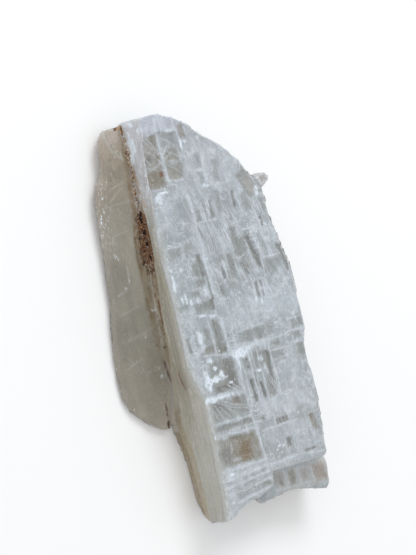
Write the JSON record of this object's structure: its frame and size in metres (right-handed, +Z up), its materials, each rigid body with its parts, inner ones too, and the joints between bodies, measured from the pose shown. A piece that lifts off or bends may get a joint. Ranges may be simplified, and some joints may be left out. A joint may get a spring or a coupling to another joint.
{
  "type": "selenite crystal blade",
  "caption": "Broad cloudy selenite blade with milky veils, clear windows, a stepped foot, an iron-stained seam and a thinner side blade grown onto its flank.",
  "frame": {"origin": "on the ground, under the middle of the box around the specimen, which lies on its broad back face", "axes": "+X across the main blade, away from the side blade; +Y along the blade, towards its slanted head; +Z up, from the back face to the front face"},
  "size_m": [0.1002, 0.1994, 0.027],
  "materials": {
    "selenite": "satin to glossy, clear in windows and frosty along fibres",
    "milky_veil": "soft cloudy white inside the crystal",
    "iron_crust": "dull granular rust brown"
  },
  "bodies": {
    "root": {"selenite_blade": "selenite"}
  },
  "joints": []
}
